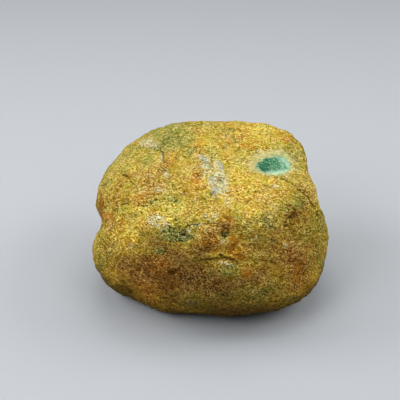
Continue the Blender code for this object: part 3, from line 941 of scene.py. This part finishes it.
# The skin's own colours, from greenest to reddest, with paler straw and peach in patches.
SKIN_COLOURS = [
    (0.00, (0.150, 0.175, 0.016, 1)),
    (0.28, (0.300, 0.265, 0.022, 1)),
    (0.50, (0.430, 0.310, 0.018, 1)),
    (0.72, (0.400, 0.222, 0.008, 1)),
    (1.00, (0.290, 0.100, 0.004, 1)),
]
USUAL_HUE = 0.555
USUAL_TONE = 0.06
STRAW = (0.56, 0.46, 0.100, 1)
PEACH = (0.62, 0.44, 0.16, 1)

hue = added((clouds, 0.18), (patches, 0.17), (flecks, 0.03), (attribute("redder"), 0.42), (streaks, 0.07),
            USUAL_HUE)
tone_clouds = swing(0.0056, 3.0, moved(bent, (0, 0.5, 0)))
# The tone brings the fields' painted light and shade into the colour, along with the skin's own tone.
tone_with_painted_light = added((tone_clouds, 0.08), attribute("tone_and_painted_light"), USUAL_TONE, (fine_streaks, 0.08))
colour = shade(colour_scale(hue, SKIN_COLOURS), calc("POWER", 2.0, tone_with_painted_light))
colour = laid(colour, STRAW, band(patches, 0.5, 1.3), 0.4)
peach_clouds = swing(0.0062, 5.0, moved(bent, (0, 0, 0.6)))
colour = laid(colour, PEACH, band(peach_clouds, 0.3, 1.4), 0.55)

# The stains and bare spots, each kind laid over the one before; a few are painted highlights and painted
# shade.
OLIVE = (0.225, 0.235, 0.030, 1)
RUST = (0.290, 0.105, 0.006, 1)
ORANGE = (0.56, 0.235, 0.014, 1)
CREAM = (0.62, 0.51, 0.28, 1)
MILKY_GREEN = (0.48, 0.52, 0.32, 1)
LILAC_GREY = (0.33, 0.35, 0.25, 1)
DEEP_GREEN = (0.040, 0.076, 0.008, 1)
MOSS = (0.130, 0.195, 0.024, 1)
MINT = (0.48, 0.54, 0.17, 1)
BROWN = (0.070, 0.036, 0.005, 1)


def broken(name, reach, texture, low=0.25, high=0.75):
    """A kind of mark with a ragged edge: its share, moved by a texture's swing where there is a share."""
    share = attribute(name)
    ragged = times(times(texture, reach), band(share, 0.0, 0.35))
    return band(calc("ADD", share, ragged), low, high)


rust_marks = broken("rust", 0.35, flecks)
orange_marks = broken("orange", 0.40, flecks, 0.30, 0.80)
pale_marks = broken("pale", 0.62, fine_streaks, 0.32, 0.80)
dark_and_shade_marks = broken("dark", 0.40, fine_streaks, 0.40, 0.70)
pale_colour = blend(band(patches, -0.5, 0.8), CREAM, MILKY_GREEN)
green_colour = blend(band(dots, -0.3, 0.5), DEEP_GREEN, MOSS)
green_colour = blend(band(threads, 0.5, 0.9), green_colour, MINT)
colour = laid(colour, OLIVE, broken("olive", 0.25, patches), 0.85)
colour = laid(colour, RUST, rust_marks, 0.80)
colour = laid(colour, ORANGE, orange_marks, 0.92)
colour = laid(colour, pale_colour, pale_marks, 0.76)
colour = laid(colour, LILAC_GREY, broken("grey", 0.45, fine_streaks, 0.35, 0.70), 0.80)
colour = laid(colour, green_colour, broken("green", 0.45, fine_streaks, 0.35, 0.65), 0.85)
colour = laid(colour, BROWN, dark_and_shade_marks, 0.90)

# Grains: each crystal of the rind is paler or browner than the next, and keeps the hue of its place. The
# pale grains are partly painted glints, small highlights on the crystals.
ROUND_CRYSTAL = 0.00037
LONG_CRYSTAL = 0.00042
PALE_GRAIN_AND_GLINT = (0.83, 0.70, 0.30, 1)
WHITE_GRAIN = (0.86, 0.81, 0.57, 1)
DARK_GRAIN = (0.33, 0.235, 0.0, 1)

round_cells = put("ShaderNodeTexVoronoi", "Color", {"Vector": place, "Scale": 1 / ROUND_CRYSTAL})
long_cells = put("ShaderNodeTexVoronoi", "Color", {"Vector": fibre_place, "Scale": 1 / LONG_CRYSTAL})
round_light = put("ShaderNodeSeparateColor", 0, {0: round_cells})
long_light = put("ShaderNodeSeparateColor", 0, {0: long_cells})
grain = added((round_light, 0.52), (long_light, 0.38), (threads, 0.10), 0.04)
coarse_clouds = swing(0.0075, 4.0, moved(bent, (0.8, 0, 0)))
coarseness = added(1.0, (coarse_clouds, 0.35), (attribute("soil_and_painted_shade"), 0.5))
# Pale grains, partly painted glints.
pale_grain_and_glint = calc("MULTIPLY", band(grain, 0.44, 0.80), coarseness, clamp=True)
for marks, hold_back in ((dark_and_shade_marks, 0.85), (orange_marks, 0.70), (rust_marks, 0.5)):
    pale_grain_and_glint = times(pale_grain_and_glint, rest_of(times(marks, hold_back)))
dark_grain = calc("MULTIPLY", rest_of(band(grain, 0.06, 0.48)), coarseness, clamp=True)
# Pale grains take the same painted light and shade.
grain_tone_and_light = calc("POWER", 2.0, times(attribute("tone_and_painted_light"), 0.6))
light_grain_and_glint = shade(blend(pale_marks, PALE_GRAIN_AND_GLINT, WHITE_GRAIN), grain_tone_and_light)
colour = blend(pale_grain_and_glint, colour, blend(0.60, shade(colour, 1.75), light_grain_and_glint))
colour = tinted(colour, DARK_GRAIN, dark_grain)

# Short creases between the crystals, in some places only, and soil that has settled in them and in the
# pits. Round the foot and where the flanks turn under, a brown soil stain together with painted shade.
SOIL_AND_SHADE_COLOURS = [
    (0.0, (1.00, 1.00, 1.00, 1)),
    (0.5, (0.96, 0.85, 0.58, 1)),
    (0.8, (0.57, 0.45, 0.28, 1)),
    (1.0, (0.29, 0.22, 0.14, 1)),
]

crease_gap = calc("ABSOLUTE", fibrous(0.0036, 3.0, (0.7, 0, 0)))
creased_places = band(swing(0.0065, 3.0, moved(place, (0.9, 0, 0))), 0.5, 1.6)
crease = times(rest_of(band(crease_gap, 0.02, 0.22)), creased_places)
colour = laid(colour, BROWN, crease, 0.55)
colour = laid(colour, BROWN, attribute("pit"), 0.25)
# A brown soil stain with painted shade where the flanks turn under and near the ground.
colour = tinted(colour, colour_scale(attribute("soil_and_painted_shade"), SOIL_AND_SHADE_COLOURS), 1.0)

# The cracks, as brown lines that waver and are broken off in places.
CRACK_BROWN = (0.090, 0.048, 0.006, 1)

crack_near = calc("ABSOLUTE", added(attribute("crack_gap"), (swing(0.0022, 4.0, place), 1.1)))
crack_open = band(added(attribute("crack_share"), (flecks, 0.5)), 0.35, 1.0)
crack_line = times(rest_of(band(crack_near, 0.1, 1.1)), crack_open)
colour = laid(colour, CRACK_BROWN, crack_line, 0.65)

# The ground window: a spot ground flat through the rind and polished, to show the jade inside. It is deep
# green on its left and milky on its right, with pale fibres, and its rim and halo are thinned rind.
DARK_EMERALD = (0.006, 0.050, 0.022, 1)
EMERALD = (0.014, 0.105, 0.044, 1)
MID_JADE = (0.075, 0.220, 0.105, 1)
MILK_JADE = (0.26, 0.40, 0.28, 1)
FIBRE_WHITE = (0.42, 0.58, 0.40, 1)
HALO_CREAM = (0.62, 0.60, 0.27, 1)
HALO_GREEN = (0.40, 0.48, 0.21, 1)
JADE_FIBRE_TURN = (0, 0, -0.75)
JADE_FIBRE_STRETCH = 5.0

along = attribute("window_along")
across = attribute("window_across")
near = attribute("window_near")
blunt = added(1.6, (band(along, -0.2, 0.7), 2.2))
lifted = calc("SUBTRACT", across, times(along, 0.10))
leaf = added(calc("POWER", calc("ABSOLUTE", along), blunt), calc("POWER", calc("ABSOLUTE", lifted), 1.7),
             (swing(0.0018, 4.0, place), 0.15))
window_share = times(rest_of(band(leaf, 0.78, 1.12)), near)
halo_gap = added(leaf, (across, -0.35), (flecks, 0.35))
halo_share = times(rest_of(band(halo_gap, 0.7, 2.4)), near)
jade_fibres = swing(0.0010, 2.0, drawn_out(place, JADE_FIBRE_TURN, JADE_FIBRE_STRETCH))
jade_depth = added(along, added((patches, 0.30), (dots, 0.25)))
milk = added(along, added((jade_fibres, 0.30), (leaf, 0.20)))
bright_fibre = rest_of(band(calc("ABSOLUTE", jade_fibres), 0.0, 0.20))
dark_fleck = times(band(dots, 0.1, 0.6), rest_of(band(jade_depth, -0.5, 0.3)))

jade = blend(band(jade_depth, -0.30, 0.70), EMERALD, MID_JADE)
jade = laid(jade, MILK_JADE, band(milk, 0.35, 1.05), 0.9)
jade = laid(jade, FIBRE_WHITE, times(bright_fibre, band(jade_depth, -1.1, 0.3)), 0.80)
jade = laid(jade, MILK_JADE, band(leaf, 0.62, 1.02), 0.75)
jade = laid(jade, FIBRE_WHITE, band(times(across, -1.0), 0.40, 0.85), 0.75)
jade = shade(jade, added(1.0, (dots, 0.16)))
jade = laid(jade, DARK_EMERALD, dark_fleck, 0.8)
halo_colour = blend(band(added(leaf, (dots, 0.3)), 0.9, 1.5), HALO_GREEN, HALO_CREAM)
halo_colour = shade(halo_colour, added(1.0, (threads, 0.25)))
colour = laid(colour, halo_colour, halo_share, 0.80)
colour = blend(window_share, colour, jade)

# The rind is matt and its grains stand proud, while the window has a soft polish and no grain.
RIND_ROUGHNESS = 0.78
POLISH = 0.46
GRAIN_HEIGHT = 0.0016

skin_tree.links.new(colour, skin_shader.inputs["Base Color"])
rough = calc("SUBTRACT", RIND_ROUGHNESS, times(window_share, POLISH))
skin_tree.links.new(rough, skin_shader.inputs["Roughness"])
relief = added((grain, 0.32), (flecks, 0.08), (streaks, 0.12), (fine_streaks, 0.09), (dots, 0.07))
relief = calc("SUBTRACT", relief, added((crack_line, 0.8), (crease, 0.3)))
relief = times(relief, rest_of(window_share))
bump = put("ShaderNodeBump", 0, {"Strength": 1.0, "Distance": GRAIN_HEIGHT, "Height": relief})
skin_tree.links.new(bump, skin_shader.inputs["Normal"])
skin_shader.inputs["Specular IOR Level"].default_value = 0.05

pebble_mesh.materials.append(skin)
pebble = bpy.data.objects.new("weathered_pebble", pebble_mesh)
scene.collection.objects.link(pebble)
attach(pebble, "root")
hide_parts("jadeite_pebble")
